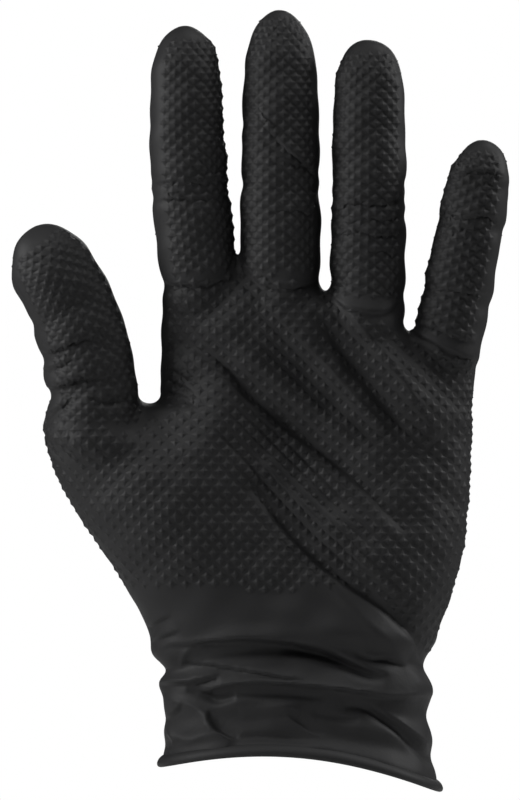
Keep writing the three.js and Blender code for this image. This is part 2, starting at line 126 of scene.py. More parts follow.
# Creases across the digits: along is a share of the length, and slant, depth and width are shares of the
# breadth. side is -1 where they are deep at the thumb side alone
creases = {
    "thumb": {"along": [0.24, 0.43, 0.64], "slant": [0.2, 0.2, 0.2], "depth": [-0.034, -0.018, -0.02],
              "width": [0.12, 0.12, 0.12], "side": -1},
    "index": {"along": [0.03, 0.36, 0.43], "slant": [0, 0, 0.1], "depth": [-0.03, -0.022, -0.018],
              "width": [0.12, 0.07, 0.07], "side": 0},
    "middle": {"along": [0.04, 0.36, 0.5], "slant": [-0.1, -0.1, -0.6], "depth": [-0.03, -0.018, -0.018],
               "width": [0.12, 0.08, 0.08], "side": 0},
    "ring": {"along": [0.1, 0.36, 0.42, 0.48], "slant": [-0.2, 0, 0, 0],
             "depth": [-0.03, -0.02, -0.018, -0.016], "width": [0.12, 0.07, 0.06, 0.06], "side": 0},
    "little": {"along": [0.26, 0.6, 0.8], "slant": [-0.1, 0, 0], "depth": [-0.025, -0.018, -0.012],
               "width": [0.12, 0.08, 0.06], "side": 0},
}


def curveThrough(keys, values, at):
    # Smooth curve through a table: a cubic on each stretch, whose slope at a row is the mean slope of the two
    # stretches that meet there
    keys = np.asarray(keys, float)
    values = np.asarray(values, float)
    slope = np.diff(values) / np.diff(keys)
    lean = np.concatenate([slope[:1], (slope[:-1] + slope[1:]) / 2, slope[-1:]])
    at = np.clip(at, keys[0], keys[-1])
    i = np.clip(np.searchsorted(keys, at, side="right") - 1, 0, len(keys) - 2)
    step = keys[i + 1] - keys[i]
    t = (at - keys[i]) / step
    rise = values[i + 1] - values[i]
    bend = (lean[i] * step - rise) * (1 - t) + (rise - lean[i + 1] * step) * t
    return values[i] + t * rise + t * (1 - t) * bend


def readTable(table, key, column, at):
    return curveThrough(table[key], table[column], at)


def mixed(a, b, share):
    return a + (b - a) * share


def gentle(low, high, at):
    # Smooth step from 0 at low to 1 at high: 3t^2 - 2t^3
    t = np.clip((at - low) / (high - low), 0, 1)
    return t * t * (3 - 2 * t)


def handShares(points):
    # Where points lie on the hand, as shares of the palm's breadth and length
    across = (points[..., 0] - form["indexSide"]) / form["palmBreadth"]
    up = (points[..., 2] - form["cuffHeight"]) / form["palmLength"]
    return across, up


def bodyRows():
    # The cuff's and palm's rows from the opening up: sides, depths, squareness, and a height made of a level
    # and a share of the fingers' web curve. The opening is level here, and slumped gives it its curve later
    f = form
    wristLeft = f["wristShift"] - f["wristBreadth"] / 2
    wristRight = f["wristShift"] + f["wristBreadth"] / 2
    t = np.arange(rowCounts["cuff"]) / rowCounts["cuff"]
    ease = 1 - (1 - t) ** 2
    flat = np.zeros_like(t)
    cuff = np.stack([
        mixed(-f["cuffBreadth"] / 2, wristLeft, ease),
        mixed(f["cuffBreadth"] / 2, wristRight, ease),
        mixed(f["cuffDepth"], f["wristDepth"], ease) / 2,
        mixed(f["cuffDepth"], f["wristDepth"], ease) / 2,
        flat + f["sectionSquareness"], mixed(f["beadHeight"], f["cuffHeight"], t), flat,
    ], axis=1)
    count = rowCounts["palm"]
    ups = np.concatenate([np.arange(count) / count * thumbShoulder["up"][0], thumbShoulder["up"]])
    reach = np.concatenate([np.ones(count), thumbShoulder["reach"]]) * f["thenarReach"]
    square = np.concatenate([np.full(count, f["sectionSquareness"]), thumbShoulder["square"]])
    sides = ("thumbSide", "littleSide", "front", "back")
    grown = {name: readTable(palmGrowth, "up", name, ups) for name in sides}
    palm = np.stack([
        mixed(wristLeft, f["indexSide"] - reach, grown["thumbSide"]),
        mixed(wristRight, f["indexSide"] + f["palmBreadth"], grown["littleSide"]),
        mixed(f["wristDepth"], f["palmDepth"], grown["front"]) / 2,
        mixed(f["wristDepth"], f["palmDepth"], grown["back"]) / 2,
        square, f["cuffHeight"] + ups * f["palmLength"], ups * 0,
    ], axis=1)
    up = np.asarray(knuckles["up"])
    depth = mixed(f["palmDepth"], f["webDepth"], np.asarray(knuckles["depth"])) / 2
    wide = 1 + f["littleSpread"] * np.sin(np.pi / 2 * up)
    top = np.stack([
        f["indexSide"] + f["palmBreadth"] * f["indexTuck"] * up,
        f["indexSide"] + f["palmBreadth"] * wide,
        depth, depth, up * 0 + f["knuckleSquareness"], up * 0 + f["thumbWeb"], up * f["knuckleRise"],
    ], axis=1)
    return np.concatenate([cuff, palm, top])


def bodySurface(rowCount, columnCount):
    # Palm and cuff as a grid of rows, each a closed ring: x runs from side to side, and y is the depth times
    # (1 - away^n)^(1/n), where away is 0 on the palm's middle line and 1 at the side. A swell adds its rise
    # times exp(-d^2) to the depth, where d is the distance from its middle in its own half sizes
    rows = bodyRows()
    place = np.linspace(0, len(rows) - 1, rowCount)
    order = np.arange(len(rows))
    left, right, front, back, square, level, web = [
        curveThrough(order, rows[:, k], place)[:, None] for k in range(rows.shape[1])]
    share = 0.5 - 0.5 * np.cos(np.linspace(0, np.pi, columnCount))
    ring = np.concatenate([share, share[-2:0:-1]])[None, :]
    face = np.concatenate([-np.ones(columnCount), np.ones(columnCount - 2)])[None, :]
    x = left + (right - left) * ring
    z = level + web * readTable(fingerWebs, "across", "up", ring)
    middle = (form["indexSide"] + form["palmBreadth"] / 2 - left) / (right - left)
    away = np.where(ring < middle, 1 - ring / middle, (ring - middle) / (1 - middle))
    power = np.where(ring < middle, square, form["sectionSquareness"])
    swelling = np.clip(1 - away ** power, 0, 1) ** (1 / power)
    across, up = handShares(np.stack([x, x * 0, z], axis=-1))
    depth = np.where(face < 0, front, back)
    for side, middleAcross, middleUp, wide, tall, rise in zip(*swells.values()):
        far = ((across - middleAcross) / wide) ** 2 + ((up - middleUp) / tall) ** 2
        depth = depth + np.where(face == side, rise * form["palmDepth"] * np.exp(-far), 0)
    return np.stack([x, swelling * depth * face, z], axis=-1)


def gatherLift(across, up):
    # Sum over the gathers of depth times exp(-(d/width)^2), where d is the height above the gather's own
    # curve, a parabola through its three heights
    share = np.clip(across, 0, 1)
    lift = np.zeros_like(across)
    for thumbSide, middle, littleSide, depth, width in zip(*gathers.values()):
        arch = middle - (thumbSide + littleSide) / 2
        line = mixed(thumbSide, littleSide, share) + 4 * arch * share * (1 - share)
        away = (up - line) * form["palmLength"] / (width * form["palmDepth"])
        lift += depth * form["palmDepth"] * np.exp(-away ** 2)
    return lift


def digitFrame(name):
    # A digit's root, and its unit vectors up its own line and to its side
    digit = digits[name]
    lean = np.radians(digit["lean"])
    root = np.array([form["indexSide"] + digit["root"] * form["palmBreadth"], -digit["forward"],
                     form["thumbWeb"] + digit["rise"]])
    return root, np.array([np.sin(lean), 0, np.cos(lean)]), np.array([np.cos(lean), 0, -np.sin(lean)])


def digitPath(name, t):
    # Middle line of a digit: straight along its lean, bowed to the side and curled forward by parabolas
    digit = digits[name]
    root, run, aside = digitFrame(name)
    t = np.asarray(t, float)[..., None]
    forward = -digit["reach"] * t * t - 4 * digit["curl"] * t * (1 - t)
    return (root + run * t * digit["length"] + aside * 4 * digit["bow"] * digit["length"] * t * (1 - t)
            + np.array([0, 1, 0]) * forward * digit["length"])


def digitPoints(name, t, angle, inset=0.0):
    # Points of a digit at shares t of its length and angles round it: a squared circle whose half sizes taper
    # with t cubed and close over the tip as a quarter ellipse, less the creases' depth
    stride, leastRound = 0.01, 0.0004
    digit = digits[name]
    length = digit["length"]
    middle = digitPath(name, t)
    ahead = digitPath(name, t + stride) - digitPath(name, t - stride)
    ahead /= np.linalg.norm(ahead, axis=-1, keepdims=True)
    aside = digitFrame(name)[2]
    side = aside - ahead * (ahead @ aside)[..., None]
    side /= np.linalg.norm(side, axis=-1, keepdims=True)
    face = np.cross(ahead, side)
    roll = np.radians(digit["roll"])
    side, face = side * np.cos(roll) + face * np.sin(roll), face * np.cos(roll) - side * np.sin(roll)
    tip = 1 - inset / length
    padStart = 1 - digit["cap"] * digit["breadth"] / length
    closing = np.clip((t - padStart) / (tip - padStart), 0, 1)
    round = np.sqrt(np.clip(1 - closing ** 2, leastRound, 1))
    taper = np.clip(t, 0, 1) ** 3
    sunk = 1 - form["rootShrink"] * np.minimum(0, t / form["buried"]) ** 2
    cos, sin = np.cos(angle), np.sin(angle)
    wide = np.sign(cos) * np.abs(cos) ** (2 / form["digitSquareness"])
    deep = np.sign(sin) * np.abs(sin) ** (2 / form["digitSquareness"])
    slack = np.zeros_like(wide * t)
    rows = creases[name]
    for along, slant, depth, width in zip(rows["along"], rows["slant"], rows["depth"], rows["width"]):
        away = (t - along) * length / digit["breadth"] - slant * wide / 2
        slack += (1 + rows["side"] * wide) * depth * digit["breadth"] * np.exp(-(away / width) ** 2)
    halfBreadth = mixed(digit["breadth"], digit["tipBreadth"], taper) / 2 + slack - inset
    halfDepth = mixed(digit["depth"], digit["tipDepth"], taper) / 2 + slack - inset
    return (middle + side * (halfBreadth * round * sunk * wide)[..., None]
            + face * (halfDepth * round * sunk * deep)[..., None])


def digitSurface(name, rowCount, sideCount, inset=0.0):
    # A digit as a grid of rings, closer together towards the tip
    tip = 1 - inset / digits[name]["length"]
    even = np.linspace(0, 1, rowCount)[:, None]
    t = -form["buried"] + (tip + form["buried"]) * np.sin(np.pi / 2 * even)
    angle = np.pi + 2 * np.pi * np.arange(sideCount)[None, :] / sideCount
    return digitPoints(name, t + angle * 0, angle + t * 0, inset)


def netFaces(rowCount, columnCount, start=0):
    # Quads between a stack of closed rings, seen from outside
    row = np.arange(rowCount - 1)[:, None] * columnCount + start
    here = np.arange(columnCount)[None, :]
    beside = (here + 1) % columnCount
    above = row + columnCount
    quads = np.stack([row + here, row + beside, above + beside, above + here], axis=-1)
    return quads.reshape(-1, 4)


def fanFaces(centre, ring, turned):
    # Triangles from a middle point to a ring, written as quads whose last two corners are the same point
    beside = np.roll(ring, -1)
    first, second = (beside, ring) if turned else (ring, beside)
    return np.stack([np.full_like(ring, centre), first, second], axis=-1)


def closedNet(grid):
    # Points, quads and triangles of a stack of rings, closed at both ends by a fan to each end ring's middle
    rowCount, columnCount = grid.shape[:2]
    points = np.concatenate([grid.reshape(-1, 3), grid[0].mean(axis=0)[None], grid[-1].mean(axis=0)[None]])
    low = np.arange(columnCount)
    high = low + (rowCount - 1) * columnCount
    triangles = np.concatenate([
        fanFaces(rowCount * columnCount, low, True), fanFaces(rowCount * columnCount + 1, high, False)])
    return points, netFaces(rowCount, columnCount), triangles


def meshFrom(name, points, quads, triangles):
    # A mesh from whole arrays: points in millimetres, and faces as rows of point numbers
    mesh = bpy.data.meshes.new(name)
    loops = np.concatenate([quads.ravel(), triangles.ravel()]).astype(np.int32)
    sizes = np.concatenate([np.full(len(quads), 4), np.full(len(triangles), 3)]).astype(np.int32)
    starts = np.concatenate([[0], np.cumsum(sizes)[:-1]]).astype(np.int32)
    mesh.vertices.add(len(points))
    mesh.vertices.foreach_set("co", (np.asarray(points) * metre).astype(np.float32).ravel())
    mesh.loops.add(len(loops))
    mesh.loops.foreach_set("vertex_index", loops)
    mesh.polygons.add(len(sizes))
    mesh.polygons.foreach_set("loop_start", starts)
    mesh.update(calc_edges=True)
    mesh.validate()
    return mesh


def meshOfNets(name, nets):
    # One mesh from several closed nets, each shifted past the points before it
    shift = np.cumsum([0] + [len(net[0]) for net in nets[:-1]])
    points = np.concatenate([net[0] for net in nets])
    quads = np.concatenate([net[1] + by for net, by in zip(nets, shift)])
    triangles = np.concatenate([net[2] + by for net, by in zip(nets, shift)])
    return meshFrom(name, points, quads, triangles)


def newObject(name, mesh):
    thing = bpy.data.objects.new(name, mesh)
    bpy.context.scene.collection.objects.link(thing)
    return thing


def finished(thing):
    # The mesh of an object with its modifiers applied, in place of its own
    view = bpy.context.evaluated_depsgraph_get()
    view.update()
    mesh = bpy.data.meshes.new_from_object(thing.evaluated_get(view))
    thing.modifiers.clear()
    old = thing.data
    thing.data = mesh
    bpy.data.meshes.remove(old)
    return mesh


def pointsOf(mesh):
    points = np.empty(len(mesh.vertices) * 3, np.float32)
    mesh.vertices.foreach_get("co", points)
    return points.reshape(-1, 3).astype(float) / metre


def setPoints(mesh, points):
    mesh.vertices.foreach_set("co", (points * metre).astype(np.float32).ravel())
    mesh.update()


def normalsOf(mesh):
    normals = np.empty(len(mesh.vertices) * 3, np.float32)
    mesh.vertices.foreach_get("normal", normals)
    return normals.reshape(-1, 3).astype(float)


def edgesOf(mesh):
    edges = np.empty(len(mesh.edges) * 2, np.int32)
    mesh.edges.foreach_get("vertices", edges)
    return edges.reshape(-1, 2)


def relaxed(points, edges, rounds, share, hold=None):
    # Smoothing without shrinking: each round moves every point a share of the way to its neighbours' mean,
    # and then a little more than that share back again
    backShare = -share * 1.04
    count = np.bincount(edges.ravel(), minlength=len(points))[:, None]
    a, b = edges[:, 0], edges[:, 1]

    def towardsNeighbours(places, by):
        total = np.stack([
            np.bincount(a, places[b, k], len(places)) + np.bincount(b, places[a, k], len(places))
            for k in range(3)], axis=1)
        return places + by * (total / count - places)

    for _ in range(rounds):
        points = towardsNeighbours(points, share)
        points = towardsNeighbours(points, backShare)
    return points


def filled(points, edges, normals):
    # Fillets in the sharp inner corners: where the neighbours' mean lies outside the skin, and round about, a
    # point moves towards that mean, round after round. The weight spreads first and is then held
    count = np.bincount(edges.ravel(), minlength=len(points))
    a, b = edges[:, 0], edges[:, 1]

    def around(values):
        return (np.bincount(a, values[b], len(values)) + np.bincount(b, values[a], len(values))) / count

    def towards(places):
        return np.stack([around(places[:, k]) for k in range(3)], axis=1) - places

    hollow = np.clip((towards(points) * normals).sum(axis=1), 0, None)
    for _ in range(fillets["spreadRounds"]):
        hollow = np.maximum(hollow * fillets["kept"], around(hollow))
    weight = gentle(fillets["flat"], fillets["sharp"], hollow)
    for _ in range(fillets["softRounds"]):
        weight = around(weight)
    for _ in range(fillets["rounds"]):
        points = points + towards(points) * weight[:, None] * fillets["share"]
    return points


fusing = {
    "outerVoxel": 0.66, "innerVoxel": 2.0, "bodyRows": 220, "bodyColumns": 110, "digitRows": 130,
    "digitSides": 64, "outerRounds": 18, "innerRounds": 6, "firstRounds": 2, "share": 0.55, "foot": 6.0,
    "cutHeight": 1.5,
}
# A fillet starts where the neighbours' mean lies outside the skin by flat, and is whole where by sharp
fillets = {
    "rounds": 150, "share": 0.6, "spreadRounds": 12, "kept": 0.98, "softRounds": 8,
    "flat": 0.008, "sharp": 0.035,
}


def fusedHand(name, inset, voxel, rounds):
    # Palm and digits as closed nets, fused into one skin on a fine lattice, relaxed, and cut level at the
    # opening, which then slumps to its curve. The outer skin, which has no inset, gets fillets too
    body = bodySurface(fusing["bodyRows"], fusing["bodyColumns"])
    if inset:
        alongRing = np.roll(body, -1, axis=1) - np.roll(body, 1, axis=1)
        normal = np.cross(alongRing, np.gradient(body, axis=0))
        normal /= np.linalg.norm(normal, axis=-1, keepdims=True) + 1e-9
        body = body - normal * inset
    foot = body[:1] - np.array([0, 0, fusing["foot"]])
    nets = [closedNet(np.concatenate([foot, body]))]
    for digit in digits:
        nets.append(closedNet(digitSurface(digit, fusing["digitRows"], fusing["digitSides"], inset)))
    skin = newObject(name, meshOfNets(name, nets))
    fuse = skin.modifiers.new("fuse", "REMESH")
    fuse.mode = "VOXEL"
    fuse.voxel_size = voxel * metre
    mesh = finished(skin)
    setPoints(mesh, relaxed(pointsOf(mesh), edgesOf(mesh), fusing["firstRounds"], fusing["share"]))
    if not inset:
        setPoints(mesh, filled(pointsOf(mesh), edgesOf(mesh), normalsOf(mesh)))
    setPoints(mesh, relaxed(pointsOf(mesh), edgesOf(mesh), rounds, fusing["share"]))
    work = bmesh.new()
    work.from_mesh(mesh)
    bmesh.ops.bisect_plane(
        work, geom=work.verts[:] + work.edges[:] + work.faces[:], dist=1e-6,
        plane_co=(0, 0, fusing["cutHeight"] * metre), plane_no=(0, 0, 1), clear_inner=True)
    work.to_mesh(mesh)
    work.free()
    mesh.update()
    setPoints(mesh, slumped(pointsOf(mesh)))
    return skin


def cuffSides(height):
    # Left and right side of the cuff at a height: they ease from the opening's breadth to the wrist's
    t = np.clip((height - form["beadHeight"]) / (form["cuffHeight"] - form["beadHeight"]), 0, 1)
    ease = 1 - (1 - t) ** 2
    left = mixed(-form["cuffBreadth"] / 2, form["wristShift"] - form["wristBreadth"] / 2, ease)
    right = mixed(form["cuffBreadth"] / 2, form["wristShift"] + form["wristBreadth"] / 2, ease)
    return left, right


def edgeCurve(share):
    # The opening's edge seen from the front: a slant down to the little side, and a parabola's arch
    return -form["cuffSlant"] * share + form["cuffArch"] * (1 - (2 * share - 1) ** 2)


def slumped(points):
    # The edge's curve dies out linearly up to the wrist: z + (1 - t) * curve. It goes on below the bead
    below = -0.2
    left, right = cuffSides(points[:, 2])
    share = np.clip((points[:, 0] - left) / (right - left), 0, 1)
    t = np.clip((points[:, 2] - form["beadHeight"]) / (form["cuffHeight"] - form["beadHeight"]), below, 1)
    moved = points.copy()
    moved[:, 2] += (1 - t) * edgeCurve(share)
    return moved


def fold(kind, x, z, rise, width, reach=0.0, round=1.7, fade=0.6):
    # One row of the folds' table
    return {"kind": kind, "x": x, "z": z, "rise": rise, "width": width, "reach": reach, "round": round,
            "fade": fade}


def foldPath(guide, count=160):
    # A smooth line through a guide's few points, evenly spread by distance, with its tangents
    x, z = np.asarray(guide["x"], float), np.asarray(guide["z"], float)
    run = np.concatenate([[0], np.cumsum(np.hypot(np.diff(x), np.diff(z)))])
    at = np.linspace(0, run[-1], count)
    line = np.stack([curveThrough(run, x, at), curveThrough(run, z, at)], axis=1)
    tangent = np.gradient(line, axis=0)
    return line, tangent / np.linalg.norm(tangent, axis=1, keepdims=True)


def foldLift(points, crease):
    # Lift of one fold. Across it: exp(-(d/w)^2) for a soft valley or ridge, exp(-|d|/w) rounded at the middle
    # for a crisp one, exp(-|d/w|^n) for a wave, whose w is its width right of the run and its reach left of it,
    # or tanh(2d/w) exp(-|d|/reach) for a lap. Along it: it fades out at both ends as a power of a sine
    cut = {"widths": 5, "reaches": 2.5}  # how far from its line a fold is worked out
    ends, tip, batch = 0.0005, 0.3, 20000
    lift = np.zeros(len(points))
    line, tangent = foldPath(crease)
    reach = crease["width"] * cut["widths"] + (crease["reach"] * cut["reaches"])
    low, high = line.min(axis=0) - reach, line.max(axis=0) + reach
    flat = points[:, [0, 2]]
    near = np.flatnonzero(((flat > low) & (flat < high)).all(axis=1))
    for part in np.array_split(near, max(1, len(near) // batch)):
        here = flat[part]
        far = (here ** 2).sum(axis=1)[:, None] + (line ** 2).sum(axis=1)[None, :] - 2 * here @ line.T
        nearest = far.argmin(axis=1)
        offset = here - line[nearest]
        aside = offset[:, 0] * tangent[nearest, 1] - offset[:, 1] * tangent[nearest, 0]
        beyond = np.abs((offset * tangent[nearest]).sum(axis=1))
        along = nearest / (len(line) - 1)
        fade = np.sin(np.pi * np.clip(along, ends, 1 - ends)) ** crease["fade"]
        fade = fade * np.exp(-(beyond / crease["width"]) ** 2)
        away = aside / crease["width"]
        if crease["kind"] == "soft":
            shape = np.exp(-away ** 2)
        elif crease["kind"] == "wave":
            side = np.where(aside > 0, crease["width"], crease["reach"])
            shape = np.exp(-(np.abs(aside) / side) ** crease["round"])
        elif crease["kind"] == "crisp":
            shape = np.exp(-(np.sqrt(away ** 2 + tip ** 2) - tip))
        else:
            shape = np.tanh(2 * away) * np.exp(-np.abs(aside) / crease["reach"])
        lift[part] = crease["rise"] * fade * shape
    return lift


# The folds of the palm's face in millimetres, as seen from the front. Each row gives its kind, x to the little
# side, z up from the mount, its rise and width, and for a wave or lap its reach. rise is the height of a ridge,
# or the depth of a valley where it is below 0. A wave dies out over its width to the right of its run and over
# its reach to the left, and the lower its round, the sharper its line. A lap stands proud by its rise to the
# right of its run, sinks by as much to the left, and takes its reach to come back. The lower its fade, the
# closer to its ends a fold keeps its height
stepEdge = fold("wave", [-14.8, -9.6, -2.1, 2.4, 13.6, 24.8, 33.3, 37.9],
                [83.1, 76.6, 67.4, 62.8, 54.3, 46.6, 38.0, 29.0], -3.0, 1.2, 5.5, round=1.1, fade=0.4)
folds = [
    stepEdge,
    # palm: waves that run from the fingers' roots down to the heel
    fold("wave", [-39.8, -29.5, -22.1, -14.8, -5.9, 4.4, 14.8, 24, 33],
         [125.1, 122.1, 117.7, 109.4, 102.1, 94.1, 85.8, 77, 68], -3.0, 1.8, 5.0, round=1.2),
    fold("soft", [-33, -22, -12, -2, 8.9, 19.2, 27], [133, 127.1, 117.8, 110, 101.4, 93, 86], 1.6, 3.6),
    fold("wave", [-11.2, -5.3, 2.1, 9.4, 18.3, 25.1], [137.5, 132.5, 125.1, 116.8, 106.5, 98.5], 3.2, 3.0,
         6.0, round=1.4),
    fold("wave", [9.4, 14.8, 19.2, 22.7, 29.5, 36, 40.4], [138.4, 134.5, 128.6, 122.7, 113.9, 103.5, 95.6],
         4.4, 3.8, 7.5, round=1.1),
    fold("soft", [3, 10, 16, 24, 31], [134, 125, 117, 107.5, 98.5], -1.6, 2.2),
    fold("wave", [-12, -4, 6, 15, 24, 31], [90, 81.5, 73, 66, 57, 49], 1.7, 3.0, 4.5),
    fold("lap", [-40.4, -36, -31], [118.5, 116.5, 113], -0.6, 0.6, 1.8),
    fold("lap", [-40.4, -36, -30], [114.5, 113.2, 109.2], -0.6, 0.6, 1.8),
    fold("lap", [-40.4, -35, -29], [110.8, 109.6, 106.1], -0.5, 0.6, 1.8),
    # roots of the fingers, whose film hangs a little over the palm's
    fold("lap", [-43.7, -39.8, -29.5, -18.3], [145.7, 142.5, 141.9, 144.8], -0.9, 0.9, 3.0),
    fold("lap", [-16.2, -11.2, -3, 5.9], [146.9, 141.9, 141, 143.4], -1.0, 0.9, 3.0),
    fold("lap", [8.9, 14.8, 25, 29.5], [138.4, 135.1, 133.9, 137.5], -0.8, 0.8, 2.6),
    fold("lap", [31.3, 36, 42, 51.5], [128.5, 126.5, 123.4, 119.4], -1.0, 0.7, 2.4),
    fold("lap", [34, 42, 51.5], [131.0, 128.2, 124.6], -0.6, 0.6, 1.8),
    fold("lap", [32, 40, 50.5], [125.6, 121.6, 116.2], -0.6, 0.6, 1.8),
    # wrist: the smooth dome of the palm's film laps over the gathered cuff
    fold("lap", [-42.5, -38.3, -31.5, -24.6, -14.8, -4.9, 2.0, 8.8, 14.7, 20.6, 26.5],
         [33.0, 35.7, 36.4, 37.3, 37.8, 37.0, 35.7, 33.7, 31.3, 28.8, 27.4], -2.03, 0.9, 3.4, fade=0.8),
    fold("soft", [-6, 2.0, 8.8, 14.7, 20.6, 25], [35.6, 34.0, 32.2, 29.8, 27.3, 26.4], -2.43, 1.5),
    fold("soft", [-36, -22, -8, 4, 14, 24], [40.5, 44.5, 45.5, 43.5, 39.5, 34.5], 0.5, 3.6),
    fold("soft", [7, 17.7, 26.5, 33.5, 37], [55.5, 45.1, 36.2, 27.5, 22.5], 0.7, 2.0),
    fold("lap", [17, 20.6, 25.6, 31.5], [34.2, 32.5, 32.4, 30.0], -1.22, 0.6, 2.2),
    fold("lap", [-35.4, -26.6, -18.7, -10.8, -3.9, 2], [31.0, 30.3, 29.2, 27.9, 26.7, 26.2], -1.01, 0.5, 2.0),
    fold("crisp", [-36.0, -34.2, -31.8, -28], [29.3, 33, 35.4, 36.2], 0.61, 0.7),
    fold("lap", [-42, -36.4, -31.5, -27.5, -23.6], [24.4, 24.9, 25.3, 26.2, 27.2], -1.62, 0.7, 2.0),
    # cuff: the long ridge, and the crumpled corner at the thumb side
    fold("lap", [-30.5, -24.6, -18.7, -11.8, -3, 4.9, 12.8, 18.7, 24.6, 33, 40],
         [21.4, 23.4, 24.8, 25.2, 24.7, 24.0, 23.0, 22.0, 21.3, 20.9, 20.9], -1.08, 0.5, 2.2, fade=0.5),
    fold("crisp", [-30.5, -24.6, -18.7, -11.8, -3, 4.9, 12.8, 18.7, 24.6, 33, 40],
         [21.6, 23.8, 25.2, 25.6, 25.1, 24.4, 23.4, 22.4, 21.7, 21.3, 21.3], 0.9, 0.9, fade=0.5),
    fold("wave", [-40.4, -32.5, -26.8, -25.1, -19.8], [20.9, 18.6, 14.8, 10.6, 8.3], 1.8, 7.0, 1.4,
         round=1.2),
    fold("soft", [-33, -29, -25, -19], [23.3, 21.8, 20.4, 21.5], -1.89, 1.3),
    fold("soft", [-22, -12, -2, 8], [21.5, 22.0, 21.6, 20.6], -1.22, 1.6),
    fold("lap", [-27.1, -26.6, -25, -22.6, -18.7], [17.0, 13.9, 11.4, 9.9, 8.5], 1.35, 0.6, 2.6),
    fold("soft", [-19.7, -11.8, -3, 5.9], [8.6, 9.4, 9.0, 8.2], -0.94, 1.3),
    fold("crisp", [-39.3, -33.4, -28.5, -21.6], [9.8, 8.0, 9.0, 9.8], 0.81, 0.8),
    fold("crisp", [-40.4, -37.4, -40.0], [12.6, 7.7, 2.4], 0.94, 0.8),
    fold("lap", [-40.5, -36.4, -33.4], [14.2, 16.4, 19.3], -0.68, 0.5, 1.5),
    fold("soft", [13, 18.7, 24.6, 29.5, 35.4, 39.5], [18.5, 17.8, 14.6, 10.8, 5.2, 0.5], -1.76, 1.3),
    fold("crisp", [21.6, 27, 32.5, 38.3, 41], [18.0, 14.9, 11.2, 5.2, 1.4], 1.35, 1.2),
    fold("lap", [-4, -0.5, 2.5, 6.9], [15.6, 13.4, 11.4, 9.8], 0.68, 0.6, 2.0),
    fold("soft", [3.9, 10.8, 17.7], [16.2, 14.9, 14.2], -0.94, 1.0),
    fold("soft", [-18, -9, 0], [16.5, 17.5, 18.5], 0.68, 1.5),
    fold("lap", [-45.5, -42, -38], [41.2, 43.0, 44.9], -0.68, 0.6, 1.8),
    fold("lap", [-43.5, -40, -35], [36.8, 38.8, 40.4], -0.81, 0.6, 1.8),
    # fingers and thumb
    fold("soft", [-67.9, -59, -50.2, -41.3], [96.2, 93.2, 94.7, 100.6], 2.0, 5.0),
    fold("lap", [-13.1, -8.5, -4, 1, 6.9], [193.1, 186.5, 181.5, 177.5, 170.6], -0.75, 0.5, 2.0),
    fold("lap", [-44.5, -38, -30, -20.5], [171.2, 172.0, 171.8, 172.6], -0.45, 0.5, 1.4),
    fold("lap", [-43.5, -37, -29, -20.5], [166.2, 167.0, 166.8, 167.6], -0.52, 0.5, 1.4),
    fold("lap", [-12.5, -6, 4.5], [177.3, 177.8, 176.0], -0.45, 0.5, 1.4),
    fold("lap", [-9.5, -2, 4.5], [163.3, 163.8, 163.0], -0.45, 0.5, 1.4),
    fold("lap", [9.5, 16, 24, 30.5], [163.6, 166.0, 165.5, 167.8], -0.68, 0.5, 1.6),
    fold("lap", [13.5, 20, 25, 30.5], [160.0, 161.6, 160.8, 163.0], -0.6, 0.5, 1.4),
    fold("lap", [9.5, 16, 24, 30.5], [156.4, 157.6, 156.5, 157.8], -0.6, 0.5, 1.5),
    fold("lap", [19, 25, 29.5], [151.3, 151.8, 150.0], -0.45, 0.5, 1.4),
    fold("lap", [44.5, 50, 55, 59.8], [176.3, 174.8, 175.2, 173.4], -0.68, 0.5, 1.5),
    fold("lap", [41.5, 48, 54, 59.0], [163.8, 161.2, 162.2, 158.8], -0.75, 0.5, 1.6),
    fold("lap", [42.5, 48, 53], [160.2, 158.4, 158.8], -0.6, 0.5, 1.4),
    fold("lap", [39.5, 46, 55], [141.0, 140.0, 138.8], -0.6, 0.5, 1.5),
    fold("lap", [-80.5, -73.5, -66, -60.5], [123.6, 122.0, 125.2, 126.4], -0.75, 0.6, 1.8),
    fold("lap", [-79.5, -73.5, -66], [116.6, 117.2, 120.4], -0.9, 0.6, 1.8),
    fold("lap", [-77.5, -70.5, -64, -57.5], [111.4, 112.0, 114.6, 114.2], -0.9, 0.6, 1.8),
    fold("lap", [-76.5, -71.5, -67], [101.4, 105.5, 108.6], -1.05, 0.7, 2.2),
    fold("soft", [-62, -55, -50], [108, 107.0, 108.5], -1.2, 1.4),
]

# Fine pleats side by side across the palm, from one guide line to the other
pleats = {
    "count": 6, "rise": -0.8, "width": 1.0,
    "from": {"x": [-23.6, -13.3, 0, 10.3, 22], "z": [112.8, 103.3, 91.5, 81.4, 71]},
    "to": {"x": [-25.1, -16.2, -7.4, 1.5, 11.8, 22], "z": [100.7, 90.3, 80.7, 71, 61.5, 53]},
}
# A slight ripple of the film all round: each wave's turn a millimetre along x and along z, and its start
ripple = {
    "height": 0.11, "alongY": 0.3,
    "waves": [(0.31, 0.17, 0.2), (-0.23, 0.37, 1.9), (0.47, -0.29, 3.1), (0.13, 0.61, 4.4)],
}
facing = {"none": -0.1, "full": 0.5}  # how squarely the film faces the front where folds start and are whole


def pleatFolds():
    # Each pleat lies at its own share of the way from the first guide to the second
    guides = [foldPath(pleats[name], count=6)[0] for name in ("from", "to")]
    made = []
    for share in np.linspace(0, 1, pleats["count"]):
        line = mixed(guides[0], guides[1], share)
        made.append(fold("soft", line[:, 0], line[:, 1], pleats["rise"], pleats["width"]))
    return made


